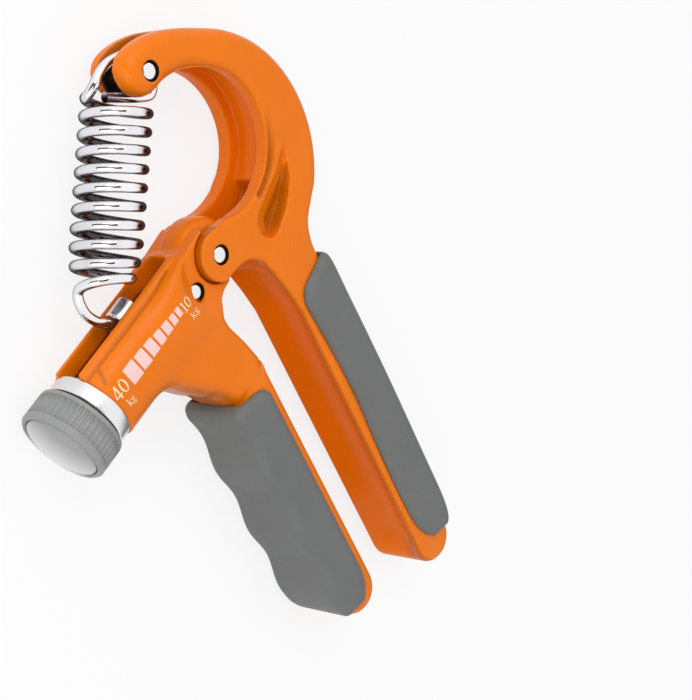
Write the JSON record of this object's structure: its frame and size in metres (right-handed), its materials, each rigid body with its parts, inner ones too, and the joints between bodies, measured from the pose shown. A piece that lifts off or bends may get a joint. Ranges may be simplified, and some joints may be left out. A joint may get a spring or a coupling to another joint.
{
  "type": "hand grip strengthener",
  "caption": "Hand grip strengthener with a hooked frame, pivoting finger lever, padded handles, extension spring, and a screw knob that moves the spring's lower hook to set the force.",
  "frame": {"origin": "middle of the base, under the centre of the overall box, with the grip lying on its side", "axes": "+Z through the thickness, along the pivot pin; +Y from the handles' ends towards the hook; +X towards the palm handle"},
  "size_m": [0.1302, 0.1452, 0.022],
  "materials": {
    "orange_plastic": "glossy moulded orange plastic",
    "grey_rubber": "satin grey rubber, moulded over the handles",
    "grey_plastic": "satin moulded grey plastic",
    "chrome_wire": "bright plated spring wire",
    "turned_steel": "turned and plated steel",
    "nut_steel": "turned bright steel",
    "pin_steel": "drawn steel with satin ends",
    "clip_steel": "blackened spring steel",
    "white_nylon": "natural nylon",
    "bush_brass": "plain brass"
  },
  "bodies": {
    "frame": {"frame": "orange_plastic", "palm_pad": "grey_rubber", "pivot_pin": "pin_steel", "top_pin": "pin_steel", "pivot_washers": "white_nylon"},
    "lever": {"lever": "orange_plastic", "finger_pad": "grey_rubber", "cross_pin": "pin_steel", "end_block": "turned_steel", "end_collar": "turned_steel", "pivot_sleeve": "bush_brass"},
    "knob": {"lead_screw": "turned_steel", "screw_clip": "clip_steel", "thrust_washer": "white_nylon", "knob": "grey_plastic", "knob_nut": "turned_steel", "knob_cap": "grey_plastic"},
    "carrier": {"carrier_nut": "nut_steel"},
    "spring": {"spring": "chrome_wire", "hook_sleeve": "turned_steel"}
  },
  "joints": [
    {"name": "squeeze", "type": "hinge", "parent": "frame", "child": "lever", "pos_m": [-0.01796, 0.02034, 0.011], "axis": [0, 0, 1], "range_deg": [-24, 3], "stiffness_Nm_per_rad": 6, "springref_deg": -25.78, "deforming": ["spring"]},
    {"name": "knob_turn", "type": "hinge", "parent": "lever", "child": "knob", "pos_m": [-0.05514, -0.0191, 0.011], "axis": [0.7133, 0.7009, 0], "range_deg": [-590, 2010]},
    {"name": "nut_travel", "type": "slide", "parent": "lever", "child": "carrier", "axis": [-0.7133, -0.7009, 0], "range_m": [-0.0032, 0.0111]},
    {"name": "spring_swing", "type": "hinge", "parent": "frame", "child": "spring", "pos_m": [-0.03746, 0.06144, 0.011], "axis": [0, 0, 1], "range_deg": [-8, 1.1]}
  ],
  "couplings": [
    {"joint": "knob_turn", "follows": "nut_travel", "rad_per_m": 3141.6},
    {"joint": "spring_swing", "follows": "squeeze", "ratio": 0.329}
  ]
}
